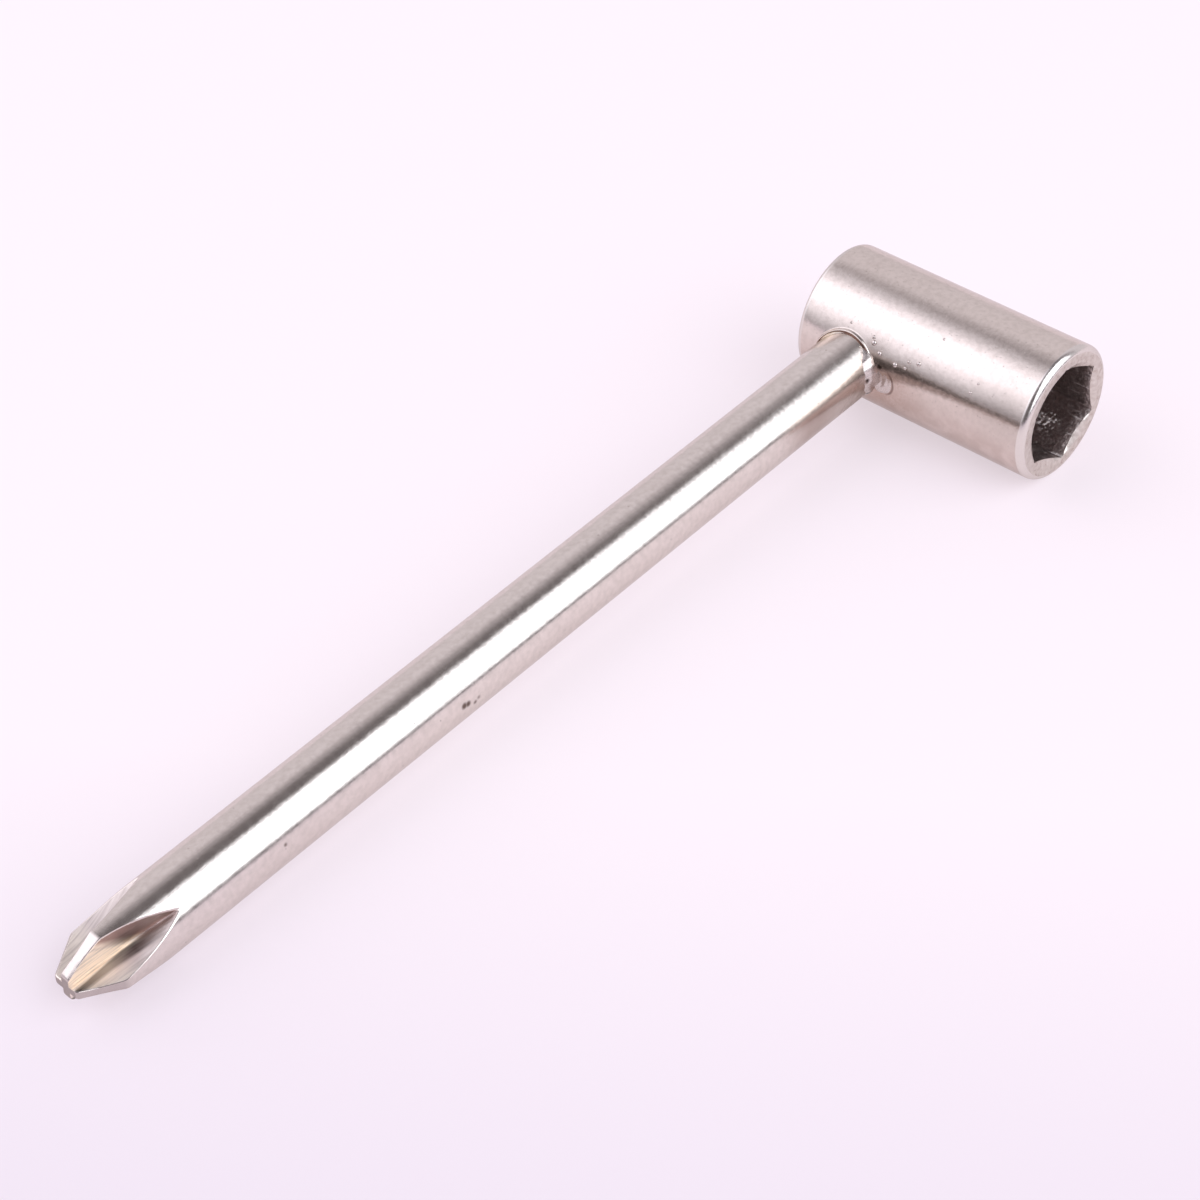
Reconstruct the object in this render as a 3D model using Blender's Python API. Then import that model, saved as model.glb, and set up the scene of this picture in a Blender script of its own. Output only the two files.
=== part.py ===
"""Truss rod wrench: a hex socket barrel with a cross-point screwdriver shank set in its side.

The barrel is turned from round bar, drilled and broached with a blind hexagon. The shank is a
plain round rod whose free end is ground to a cross-point driver. Its other end sits in a hole
drilled across the barrel's solid end, and a tack weld in the corner keeps it there.

The wrench lies on a surface as it does on a bench: on the barrel's side and on the driver's tip.
+Z is up, the shank runs along X with the tip at -X, and the socket's mouth faces -Y. The origin is
on that surface, below the middle of the wrench.
"""

import math

import bmesh
import bpy
from mathutils import Matrix, Vector

MM = 0.001

# Barrel: outside, and where the shank enters it
BARREL_DIAMETER = 12.0 * MM
BARREL_LENGTH = 23.2 * MM
SHANK_SETBACK = 5.2 * MM  # shank axis from the barrel's closed end
MOUTH_CHAMFER_WIDTH = 0.42 * MM
MOUTH_CHAMFER_DEPTH = 0.24 * MM
CLOSED_END_RADIUS = 0.5 * MM

# Hex socket, for an 8 mm nut
HEX_ACROSS_FLATS = 8.2 * MM
HEX_DEPTH = 10.5 * MM
HEX_TURN = math.radians(2.5)  # flats from the vertical, about the barrel
LEAD_IN_DIAMETER = 9.2 * MM
LEAD_IN_ANGLE = math.radians(126)
PILOT_DIAMETER = 7.9 * MM
PILOT_DEPTH = 11.3 * MM
DRILL_POINT_ANGLE = math.radians(118)

# Shank, and the hole that it sits in
SHANK_DIAMETER = 5.9 * MM
REACH = 91.6 * MM  # barrel axis to the end of the driver's tip
SEAT_DEPTH = 4.2 * MM  # length of shank inside the barrel
SEATED_END_CHAMFER = 0.4 * MM
MATING_GAP = 0.25 * MM

# Cross-point driver tip, size 2
TIP_DIAMETER = 2.3 * MM
TIP_CONE_LENGTH = 3.0 * MM
FLUTE_COUNT = 4
FLUTE_VEE_ANGLE = math.radians(92)
FLUTE_ROOT_RADIUS = 0.12 * MM
FLUTE_CORE_RADIUS = 0.62 * MM  # shank axis to the deepest point of a flute
FLUTE_DEEPEST_AT = 1.0 * MM  # from the end of the tip
WHEEL_RADIUS = 14.0 * MM  # the grinding wheel that cuts a flute
WHEEL_RIM_DEPTH = 4.0 * MM
WING_TURN = math.radians(-5.3)  # wings from the vertical, about the shank

# Tack weld in the corner on the mouth's side of the shank
BEAD_CENTRE = math.radians(191)  # about the shank, from +Y towards +Z
BEAD_SWEEP = math.radians(100)
BEAD_BARREL_LEG = 1.8 * MM  # from the corner, over the barrel
BEAD_SHANK_LEG = 1.25 * MM  # from the corner, along the shank
BEAD_END_SHARE = 0.42  # of those legs, left at the bead's ends
BEAD_RIPPLES = 5
BEAD_RIPPLE_SHARE = 0.05

# Facets
ROUND_SEGMENTS = 96
WHEEL_SEGMENTS = 180
ARC_STEPS = 5
ROOT_STEPS = 6
BEAD_RINGS = 32
BEAD_SIDES = 20
SHARP_ANGLE = math.radians(24)

BARREL_RADIUS = BARREL_DIAMETER / 2
SHANK_RADIUS = SHANK_DIAMETER / 2
MOUTH = BARREL_LENGTH - SHANK_SETBACK  # from the shank axis, along the barrel
CLOSED_END = -SHANK_SETBACK
SEATED_END = BARREL_RADIUS - SEAT_DEPTH  # of the shank, from the barrel axis
SHOULDER = REACH - TIP_CONE_LENGTH  # where the shank's full round ends

# At rest the shank leans down from the barrel until the driver's shoulder meets the surface
LEAN = math.asin((BARREL_RADIUS - SHANK_RADIUS) / SHOULDER)
TIP_REACH = REACH * math.cos(LEAN) + TIP_DIAMETER / 2 * math.sin(LEAN)
HEAD_PLACE = Vector(((TIP_REACH - BARREL_RADIUS) / 2, (MOUTH + CLOSED_END) / 2, BARREL_RADIUS))

LONG = 2 * BARREL_DIAMETER  # a cutter's length past what it cuts
AXIS_MERGE = 1e-6


def clear_scene():
    for old in list(bpy.data.objects):
        bpy.data.objects.remove(old)


def metal(name, colour, roughness):
    """A plain metal of one colour."""
    made = bpy.data.materials.new(name)
    made.use_nodes = True
    made.diffuse_color = (*colour, 1.0)
    shader = made.node_tree.nodes["Principled BSDF"]
    shader.inputs["Base Color"].default_value = (*colour, 1.0)
    shader.inputs["Roughness"].default_value = roughness
    shader.inputs["Metallic"].default_value = 1.0
    return made


def place(name, mesh, parent, rotation=(0, 0, 0)):
    """An object in the scene, turned about its parent's origin."""
    made = bpy.data.objects.new(name, mesh)
    made.parent = parent
    made.rotation_euler = rotation
    bpy.context.scene.collection.objects.link(made)
    return made


def mesh_from(bm, name):
    bmesh.ops.recalc_face_normals(bm, faces=bm.faces)
    mesh = bpy.data.meshes.new(name)
    bm.to_mesh(mesh)
    bm.free()
    return mesh


def arc(centre, radius, start, end, steps):
    """Points of an arc in a profile, (distance from the axis, height), from one angle to another."""
    turns = [start + (end - start) * step / steps for step in range(steps + 1)]
    return [(centre[0] + radius * math.cos(t), centre[1] + radius * math.sin(t)) for t in turns]


def turned(name, profile, segments):
    """A solid of revolution about Z. The profile runs from the axis at the top to the axis below."""
    bm = bmesh.new()
    line = [bm.verts.new((radius, 0, height)) for radius, height in profile]
    edges = [bm.edges.new(pair) for pair in zip(line, line[1:])]
    bmesh.ops.spin(
        bm,
        geom=line + edges,
        cent=(0, 0, 0),
        axis=(0, 0, 1),
        angle=math.tau,
        steps=segments,
        use_merge=True,
    )
    bmesh.ops.remove_doubles(bm, verts=bm.verts, dist=AXIS_MERGE)
    return mesh_from(bm, name)


def cut(piece, name, mesh, matrix):
    """Takes a cutter's shape, placed in the piece's own frame, out of the piece."""
    cutter = place(name, mesh, piece)
    cutter.matrix_local = matrix
    cutter.hide_render = True
    cutter.display_type = "WIRE"
    boolean = piece.modifiers.new(name, "BOOLEAN")
    boolean.operation = "DIFFERENCE"
    boolean.object = cutter


def settle(piece, material):
    """Makes the cuts final, shades the round faces smooth and gives the piece its material."""
    cutters = list(piece.children)
    bpy.context.view_layer.update()
    graph = bpy.context.evaluated_depsgraph_get()
    mesh = bpy.data.meshes.new_from_object(piece.evaluated_get(graph))
    piece.modifiers.clear()
    piece.data = mesh
    mesh.name = piece.name
    mesh.shade_smooth()
    mesh.set_sharp_from_angle(angle=SHARP_ANGLE)
    mesh.materials.clear()
    mesh.materials.append(material)
    for cutter in cutters:
        bpy.data.objects.remove(cutter)


def round_bar(name, radius, low, high):
    """A plain cylinder along Z."""
    return turned(name, [(0, high), (radius, high), (radius, low), (0, low)], ROUND_SEGMENTS)


def hexagon_prism():
    bm = bmesh.new()
    corner_radius = HEX_ACROSS_FLATS / 2 / math.cos(math.pi / 6)
    bmesh.ops.create_cone(
        bm,
        cap_ends=True,
        segments=6,
        radius1=corner_radius,
        radius2=corner_radius,
        depth=HEX_DEPTH + LONG,
    )
    return mesh_from(bm, "hexagon_broach")


def socket_head(parent, material):
    """The barrel. Its own +Z runs along its axis to the mouth, with the shank axis at zero."""
    end_centre = (BARREL_RADIUS - CLOSED_END_RADIUS, CLOSED_END + CLOSED_END_RADIUS)
    profile = [
        (0, MOUTH),
        (BARREL_RADIUS - MOUTH_CHAMFER_WIDTH, MOUTH),
        (BARREL_RADIUS, MOUTH - MOUTH_CHAMFER_DEPTH),
        *arc(end_centre, CLOSED_END_RADIUS, 0, -math.pi / 2, ARC_STEPS),
        (0, CLOSED_END),
    ]
    bar = turned("socket_head", profile, ROUND_SEGMENTS)
    head = place("socket_head", bar, parent, (math.pi / 2, 0, 0))

    pilot_radius = PILOT_DIAMETER / 2
    drill_bottom = MOUTH - PILOT_DEPTH - pilot_radius / math.tan(DRILL_POINT_ANGLE / 2)
    drill = [
        (0, MOUTH + LONG),
        (pilot_radius, MOUTH + LONG),
        (pilot_radius, MOUTH - PILOT_DEPTH),
        (0, drill_bottom),
    ]
    cut(head, "pilot_drill", turned("pilot_drill", drill, ROUND_SEGMENTS), Matrix())

    broach_middle = MOUTH - HEX_DEPTH + (HEX_DEPTH + LONG) / 2
    broach_place = Matrix.Translation((0, 0, broach_middle)) @ Matrix.Rotation(HEX_TURN, 4, "Z")
    cut(head, "hexagon_broach", hexagon_prism(), broach_place)

    lead_in_depth = LEAD_IN_DIAMETER / 2 / math.tan(LEAD_IN_ANGLE / 2)
    countersink = [
        (0, MOUTH + lead_in_depth),
        (LEAD_IN_DIAMETER, MOUTH + lead_in_depth),
        (0, MOUTH - lead_in_depth),
    ]
    cut(head, "countersink", turned("countersink", countersink, ROUND_SEGMENTS), Matrix())

    hole = round_bar("cross_drill", SHANK_RADIUS + MATING_GAP, SEATED_END - MATING_GAP, LONG)
    cut(head, "cross_drill", hole, Matrix.Rotation(-math.pi / 2, 4, "Y"))
    settle(head, material)


def grinding_wheel():
    """A disc about Z with a vee rim of the flute's section, rounded at its crest."""
    half_angle = FLUTE_VEE_ANGLE / 2
    crest_centre = (WHEEL_RADIUS - FLUTE_ROOT_RADIUS, 0)
    crest_turn = math.pi / 2 - half_angle
    crest = arc(crest_centre, FLUTE_ROOT_RADIUS, crest_turn, -crest_turn, ROOT_STEPS)
    rim_bottom = WHEEL_RADIUS - WHEEL_RIM_DEPTH
    half_width = crest[0][1] + (crest[0][0] - rim_bottom) * math.tan(half_angle)
    profile = [
        (0, half_width),
        (rim_bottom, half_width),
        *crest,
        (rim_bottom, -half_width),
        (0, -half_width),
    ]
    return turned("grinding_wheel", profile, WHEEL_SEGMENTS)


def driver_shank(parent, material):
    """The rod. Its own +Z runs along its axis from the barrel axis to the tip, with +X upwards."""
    profile = [
        (0, REACH),
        (TIP_DIAMETER / 2, REACH),
        (SHANK_RADIUS, SHOULDER),
        (SHANK_RADIUS, SEATED_END + SEATED_END_CHAMFER),
        (SHANK_RADIUS - SEATED_END_CHAMFER, SEATED_END),
        (0, SEATED_END),
    ]
    rod = turned("driver_shank", profile, ROUND_SEGMENTS)
    shank = place("driver_shank", rod, parent, (0, -math.pi / 2, 0))
    wheel = grinding_wheel()
    wheel_place = Matrix.Translation((FLUTE_CORE_RADIUS + WHEEL_RADIUS, 0, REACH - FLUTE_DEEPEST_AT))
    wheel_upright = Matrix.Rotation(math.pi / 2, 4, "X")
    for index in range(FLUTE_COUNT):
        turn = WING_TURN + math.tau * (index + 0.5) / FLUTE_COUNT
        around = Matrix.Rotation(turn, 4, "Z")
        cut(shank, f"flute_{index + 1}", wheel, around @ wheel_place @ wheel_upright)
    settle(shank, material)


def barrel_point(turn, distance):
    """The point of the barrel's side at one angle about the shank and one distance from its axis."""
    y = distance * math.cos(turn)
    z = distance * math.sin(turn)
    return Vector((-math.sqrt(BARREL_RADIUS**2 - z**2), y, z))


def bead_ring(share):
    """Points of one ring of the bead, at a share of its length along the corner."""
    turn = BEAD_CENTRE + BEAD_SWEEP * (share - 0.5)
    corner = barrel_point(turn, SHANK_RADIUS)
    over_barrel = barrel_point(turn, SHANK_RADIUS + BEAD_BARREL_LEG) - corner
    along_shank = Vector((-BEAD_SHANK_LEG, 0, 0))
    swell = BEAD_END_SHARE + (1 - BEAD_END_SHARE) * math.sin(math.pi * share)
    ripple = 1 + BEAD_RIPPLE_SHARE * math.cos(math.tau * BEAD_RIPPLES * share)
    size = swell * ripple
    turns = [math.tau * side / BEAD_SIDES for side in range(BEAD_SIDES)]
    return [corner + size * (math.cos(t) * over_barrel + math.sin(t) * along_shank) for t in turns]


def weld_bead(parent, material):
    """Weld metal in the corner: a rippled bead, cut back from the shank and the barrel."""
    bm = bmesh.new()
    rings = []
    for index in range(BEAD_RINGS + 1):
        rings.append([bm.verts.new(point) for point in bead_ring(index / BEAD_RINGS)])
    for ring, following in zip(rings, rings[1:]):
        for side in range(BEAD_SIDES):
            after = (side + 1) % BEAD_SIDES
            bm.faces.new((ring[side], ring[after], following[after], following[side]))
    bm.faces.new(rings[0])
    bm.faces.new(rings[-1])
    bead = place("weld_bead", mesh_from(bm, "weld_bead"), parent)

    barrel = round_bar("barrel_clearance", BARREL_RADIUS + MATING_GAP, -LONG, LONG)
    cut(bead, "barrel_clearance", barrel, Matrix.Rotation(math.pi / 2, 4, "X"))
    shank = round_bar("shank_clearance", SHANK_RADIUS + MATING_GAP, -LONG, LONG)
    cut(bead, "shank_clearance", shank, Matrix.Rotation(math.pi / 2, 4, "Y"))
    settle(bead, material)


def main():
    clear_scene()
    rest = bpy.data.objects.new("rest_pose", None)
    rest.location = HEAD_PLACE
    rest.rotation_euler = (0, -LEAN, 0)
    bpy.context.scene.collection.objects.link(rest)

    socket_head(rest, metal("barrel_nickel", (0.66, 0.62, 0.60), 0.30))
    driver_shank(rest, metal("shank_nickel", (0.70, 0.66, 0.64), 0.22))
    weld_bead(rest, metal("weld_metal", (0.60, 0.56, 0.53), 0.34))


main()
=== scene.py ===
import math

import bmesh
import bpy
import numpy as np
from mathutils import Matrix, Vector


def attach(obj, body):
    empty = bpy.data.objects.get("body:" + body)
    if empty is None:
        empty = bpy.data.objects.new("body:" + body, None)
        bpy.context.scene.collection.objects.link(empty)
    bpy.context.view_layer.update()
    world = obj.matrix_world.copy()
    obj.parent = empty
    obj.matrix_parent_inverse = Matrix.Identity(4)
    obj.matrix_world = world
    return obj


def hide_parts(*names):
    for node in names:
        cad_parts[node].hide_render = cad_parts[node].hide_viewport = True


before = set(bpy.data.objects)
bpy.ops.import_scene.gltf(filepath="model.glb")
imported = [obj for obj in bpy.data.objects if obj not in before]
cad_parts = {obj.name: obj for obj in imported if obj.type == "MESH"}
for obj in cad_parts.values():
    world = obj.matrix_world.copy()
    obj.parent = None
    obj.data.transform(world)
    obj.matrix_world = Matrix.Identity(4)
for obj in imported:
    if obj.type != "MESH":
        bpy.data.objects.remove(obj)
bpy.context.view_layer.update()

MM = 0.001

# Every piece is built around the point where the shank's axis meets the barrel's: the shank runs along -X,
# the barrel's mouth is towards -Y, and +Z is up

# Barrel
BARREL_RADIUS = 6.0 * MM
MOUTH = 18.0 * MM  # from the shank's axis, along the barrel
CLOSED_END = 5.2 * MM  # from the shank's axis, the other way
CLOSED_END_RADIUS = 0.5 * MM
HEX_ACROSS_FLATS = 8.2 * MM
HEX_TURN = math.radians(2.5)
HEX_DEPTH = 10.5 * MM
HEX_CORNER_BLUNT = 0.04 * MM
HEX_FOOT = 0.03 * MM  # bevel at the hexagon's bottom
MOUTH_CHAMFER_WIDTH = 0.42 * MM
MOUTH_CHAMFER_DEPTH = 0.24 * MM
MOUTH_EASES = (0.60 * MM, 0.24 * MM)  # rounding of the chamfer's outer and inner edge
MOUTH_BAND = 0.6 * MM  # depth that the chamfer and its rounding take up
LEAD_IN_RADIUS = 4.6 * MM
LEAD_IN_ANGLE = math.radians(126)
LEAD_IN_BEVEL = (0.05 * MM, 0.02 * MM)  # width and depth, where the lead-in leaves the mouth's face
HEX_BEVEL = ((0.02 * MM, 0.04 * MM), (0.0, 0.08 * MM))  # the same, where it reaches the hexagon
PILOT_RADIUS = 3.95 * MM
PILOT_DEPTH = 11.3 * MM
DRILL_POINT_ANGLE = math.radians(118)

# Shank and cross-point tip
SHANK_RADIUS = 2.95 * MM
REACH = 91.6 * MM  # from the barrel's axis to the tip's end
SEATED_END = 1.8 * MM  # from the barrel's axis to the other end
SEATED_CHAMFER = 0.4 * MM
TIP_RADIUS = 1.15 * MM
TIP_CONE_LENGTH = 3.0 * MM
TIP_EDGE = 0.16 * MM
SHOULDER_BLEND = 0.12 * MM
FLUTE_COUNT = 4
FLUTE_HALF_ANGLE = math.radians(46)
FLUTE_ROOT_RADIUS = 0.12 * MM
FLUTE_CORE_RADIUS = 0.62 * MM
FLUTE_DEEPEST_AT = 1.0 * MM  # above the tip's end
FLUTE_EDGE_BLEND = 0.18 * MM
FLUTE_LOOK_DEPTH = 0.075 * MM  # how deep in a flute the ground look starts
WHEEL_RADIUS = 14.0 * MM
WING_TURN = math.radians(5.3)

# Joint between shank and barrel
HOLE_RADIUS = 2.9 * MM
HOLE_BOTTOM = 1.5 * MM  # from the barrel's axis
LIP_HEIGHT = 0.20 * MM  # of the thin lip around the shank, at its highest
LIP_FOOT = 3.27 * MM  # radius at which it leaves the barrel's side
LIP_TOP = 3.18 * MM  # radius at which it is at its height
LIP_HOLLOW = 2.5  # power by which it rises between the two
LIP_HIGHEST_AT = math.radians(55)  # from +Y towards +Z
LIP_MEAN = 0.5  # how raised it is on average around the shank, from 0 to 1
LIP_SWING = 0.9  # how far that swings either way
LIP_CREST = ((0.03 * MM, 1.06), (0.06 * MM, 1.05), (0.08 * MM, 0.98))  # inwards of the top, share of height
SEAM_WALL = ((0.10 * MM, 0.88), (0.14 * MM, 0.72))  # the same, where the brown seam goes down
SEAM_AT_HOLE = 0.50  # share of height at the hole's edge

# Weld metal around the shank: degrees from +Y towards +Z, height and reach along the shank in millimetres
COLLAR = np.array([
    (124, 0.00, 0.30), (132, 0.16, 0.50), (142, 0.34, 0.80), (152, 0.42, 0.95), (160, 0.40, 0.95),
    (170, 0.28, 1.15), (182, 0.24, 1.00), (205, 0.20, 0.75), (225, 0.12, 0.45), (238, 0.00, 0.30),
])
THIN_COLLAR = np.array([
    (20, 0.00, 0.25), (30, 0.10, 0.40), (45, 0.13, 0.48),
    (60, 0.12, 0.46), (72, 0.06, 0.36), (84, 0.00, 0.20),
])
# How both waver with the angle: size, rate for each degree, start
HEIGHT_WAVES = ((0.10, 0.19, 0.0), (0.03, 0.53, 1.0))
REACH_WAVES = ((0.12, 0.13, 2.0), (0.05, 0.37, 0.0))
COLLAR_PITS = (
    # angle about the shank, distance from the barrel's axis, radius, depth
    (math.radians(173), 6.72 * MM, 0.22 * MM, 0.10 * MM),
    (math.radians(209), 6.20 * MM, 0.26 * MM, 0.07 * MM),
)
WELD_ROOT = 0.35 * MM  # how deep the weld goes into both pieces
WELD_SUNK = 0.04 * MM  # how far its thin edges lie below their surface

# Flat round end of the weld on the barrel's side
BUTTON_MIDDLE = (-3.75 * MM, 0.20 * MM)  # y and z
BUTTON_RADIUS = 1.25 * MM
BUTTON_HEIGHT = 0.12 * MM
BUTTON_THREE_LOBES = 0.05  # shares of its radius by which its outline wavers
BUTTON_FIVE_LOBES = 0.03
BUTTON_MEAN = 0.65  # share of its height at its middle
BUTTON_TILT = 0.45  # how much more the lower rim has, and the upper rim less
BUTTON_LEAST = 0.2
BUTTON_RIM = 6  # power by which it falls off towards its rim
RIPPLE_MIDDLE = (-2.6 * MM, 0.45 * MM)
RIPPLE_PITCH = 0.55 * MM
RIPPLE_HEIGHT = 0.010 * MM

# Drops of spatter on the barrel
SPATTER = (
    # along the barrel from the shank's axis, angle above the shank's side, radius
    (-2.4 * MM, math.radians(31), 0.24 * MM),
    (-2.2 * MM, math.radians(35), 0.17 * MM),
    (-3.2 * MM, math.radians(25), 0.22 * MM),
    (-4.9 * MM, math.radians(22), 0.22 * MM),
    (-5.9 * MM, math.radians(23), 0.15 * MM),
    (-6.1 * MM, math.radians(29), 0.16 * MM),
    (-7.0 * MM, math.radians(31), 0.20 * MM),
    (0.3 * MM, math.radians(38), 0.12 * MM),
    (-8.1 * MM, math.radians(57), 0.12 * MM),
    (-12.3 * MM, math.radians(28), 0.14 * MM),
    (-12.7 * MM, math.radians(37), 0.11 * MM),
)
DROP_HEIGHT = 0.75  # shares of a drop's radius
DROP_ROOT = 0.3

# At rest the shank leans down until the driver's shoulder meets the floor
LEAN = math.asin((BARREL_RADIUS - SHANK_RADIUS) / (REACH - TIP_CONE_LENGTH))
TIP_REACH = REACH * math.cos(LEAN) + TIP_RADIUS * math.sin(LEAN)
HEAD_PLACE = Vector(((TIP_REACH - BARREL_RADIUS) / 2, (MOUTH - CLOSED_END) / 2, BARREL_RADIUS))
REST = Matrix.Translation(HEAD_PLACE) @ Matrix.Rotation(-LEAN, 4, "Y")

SHARP_ANGLE = math.radians(32)
WELD_SHARP_ANGLE = math.radians(75)


class Skin:
    """Points and faces of one piece, gathered row by row."""

    def __init__(self):
        self.points = []
        self.faces = []
        self.looks = []

    def row(self, points):
        """The numbers of new points."""
        first = len(self.points)
        self.points.extend(tuple(point) for point in points)
        return list(range(first, len(self.points)))

    def face(self, corners, look):
        """One face, and which of the piece's materials it has."""
        self.faces.append(tuple(corners))
        self.looks.append(look)

    def join(self, row, following, looks):
        """Quads between two closed rows, with a look for each."""
        for here, look in enumerate(looks):
            after = (here + 1) % len(row)
            self.face((row[here], row[after], following[after], following[here]), int(look))

    def stack(self, rows):
        """Closed rows, each joined to the next."""
        for row, following in zip(rows, rows[1:]):
            self.join(row, following, [0] * len(row))

    def shell(self, rows):
        """A stack closed at both ends, where each row is a top and the same number of points below it."""
        self.stack(rows)
        last = len(rows[0]) - 1
        for row in (rows[0], rows[-1]):
            for here in range(last // 2):
                self.face((row[here], row[here + 1], row[last - here - 1], row[last - here]), 0)

    def cap(self, row, centre, look=0):
        """Triangles from a closed row to one point."""
        middle = self.row([centre])[0]
        for here in range(len(row)):
            self.face((row[here], row[(here + 1) % len(row)], middle), look)

    def piece(self, name, materials, sharp=SHARP_ANGLE):
        """The finished object, in the place where it rests."""
        mesh = bpy.data.meshes.new(name)
        mesh.from_pydata(self.points, [], self.faces)
        mesh.polygons.foreach_set("material_index", self.looks)
        bm = bmesh.new()
        bm.from_mesh(mesh)
        bmesh.ops.recalc_face_normals(bm, faces=bm.faces)
        bm.to_mesh(mesh)
        bm.free()
        for material in materials:
            mesh.materials.append(material)
        mesh.shade_smooth()
        mesh.set_sharp_from_angle(angle=sharp)
        made = bpy.data.objects.new(name, mesh)
        bpy.context.scene.collection.objects.link(made)
        made.matrix_world = REST
        return made


class Graph:
    """A node tree, built up one node at a time."""

    def __init__(self, tree):
        self.tree = tree
        tree.nodes.clear()

    def add(self, kind, inputs, out=0, **settings):
        """One of a new node's outputs, or the node itself if it has none."""
        made = self.tree.nodes.new(kind)
        for name, value in settings.items():
            setattr(made, name, value)
        for key, value in inputs.items():
            if isinstance(value, bpy.types.NodeSocket):
                self.tree.links.new(value, made.inputs[key])
            else:
                made.inputs[key].default_value = value
        return made.outputs[out] if len(made.outputs) else made

    def coordinates(self, scale=(1, 1, 1)):
        """The piece's own coordinates, in millimetres times a scale for each axis."""
        own = self.add("ShaderNodeTexCoord", {}, out="Object")
        scaled = tuple(part / MM for part in scale)
        return self.add("ShaderNodeMapping", {"Vector": own, "Scale": scaled})

    def shift(self, vector, place):
        """Coordinates counted from another place."""
        return self.add("ShaderNodeVectorMath", {0: vector, 1: place}, operation="SUBTRACT")

    def along(self, vector, axis):
        """One of a place's three coordinates."""
        return self.add("ShaderNodeSeparateXYZ", {"Vector": vector}, out=axis)

    def noise(self, vector, scale, detail=2.0):
        return self.add("ShaderNodeTexNoise", {"Vector": vector, "Scale": scale, "Detail": detail})

    def spots(self, vector, scale, reach):
        """One at the middle of scattered cells, falling to nothing at a distance."""
        distance = self.add("ShaderNodeTexVoronoi", {"Vector": vector, "Scale": scale})
        return self.ramp(distance, reach, 0.0)

    def ramp(self, value, low, high, to_low=0.0, to_high=1.0):
        """A value carried over from one range to another, and held at the ends."""
        keys = {0: value, 1: low, 2: high, 3: to_low, 4: to_high}
        return self.add("ShaderNodeMapRange", keys)

    def dot(self, vector, direction):
        keys = {0: vector, 1: direction}
        return self.add("ShaderNodeVectorMath", keys, out="Value", operation="DOT_PRODUCT")

    def near(self, vector, place, inner, outer):
        """One around a place, as far as the inner distance, and nothing beyond the outer one."""
        distance = self.add("ShaderNodeVectorMath", {0: vector, 1: place}, out="Value", operation="DISTANCE")
        return self.ramp(distance, outer, inner)

    def math(self, operation, one, two=0.0):
        return self.add("ShaderNodeMath", {0: one, 1: two}, operation=operation)

    def times(self, one, two):
        return self.math("MULTIPLY", one, two)

    def mix(self, share, one, two, blend="MIX"):
        keys = {"Factor": share, 6: one, 7: two}
        return self.add("ShaderNodeMix", keys, out=2, data_type="RGBA", blend_type=blend)

    def bump(self, height, depth, below=None):
        keys = {"Height": height, "Strength": 1.0, "Distance": depth}
        if below is not None:
            keys["Normal"] = below
        return self.add("ShaderNodeBump", keys)


def rgb(red, green, blue):
    return (red, green, blue, 1.0)


NICKEL_EDGE = rgb(0.80, 0.78, 0.77)  # tint of every metal here at a grazing angle


def new_material(name):
    """A material, and the graph to fill it with."""
    made = bpy.data.materials.new(name)
    made.use_nodes = True
    return made, Graph(made.node_tree)


def metal_surface(graph, colour, roughness, normal):
    """The end of a metal's graph."""
    keys = {
        "Base Color": colour,
        "Roughness": roughness,
        "Metallic": 1.0,
        "Specular Tint": NICKEL_EDGE,
        "Normal": normal,
    }
    shader = graph.add("ShaderNodeBsdfPrincipled", keys)
    graph.add("ShaderNodeOutputMaterial", {"Surface": shader})


def grained_metal(name, scale, tones, roughness, depth):
    """A plain metal that varies between two tones."""
    made, graph = new_material(name)
    grain = graph.noise(graph.coordinates(), scale, 3.0)
    colour = graph.mix(grain, *tones)
    metal_surface(graph, colour, graph.ramp(grain, 0.3, 0.7, *roughness), graph.bump(grain, depth))
    return made


# Places and distances in the materials are in millimetres. A patch of colour is a place, the distance from it
# as far as which the patch is full, and the distance at which it ends
SHANK_PITS = (
    ((-55.3, -2.93, 0.33), 0.14, 0.36),
    ((-54.9, -2.93, 0.25), 0.12, 0.34),
    ((-54.2, -2.95, -0.10), 0.0, 0.26),
    ((-53.8, -2.95, 0.10), -0.1, 0.24),
    ((-73.5, -2.85, 0.76), 0.0, 0.22),
)
BROWNED_PATCH = ((-7.0, -2.2, -2.4), 1.6, 4.2)
SHANK_STRAW_PATCH = ((-6.2, 2.0, 1.9), 0.3, 1.3)
# Painted reflection of the barrel: the shank's lower side darker towards the barrel
BARREL_REFLECTION_STARTS = (-17.5, -14.5)  # along the shank
BARREL_REFLECTION_FADES = (-13.0, -8.5)
BARREL_REFLECTION_BELOW = (1.4, 0.8)  # above the axis
# Painted shade on the tip's cone, weaker on its uppermost wing
SHADED_CONE = (-88.3, -88.8)  # along the shank
UPPER_WING = (0.6, 1.2)  # above the axis, where the cone has less painted shade


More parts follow.
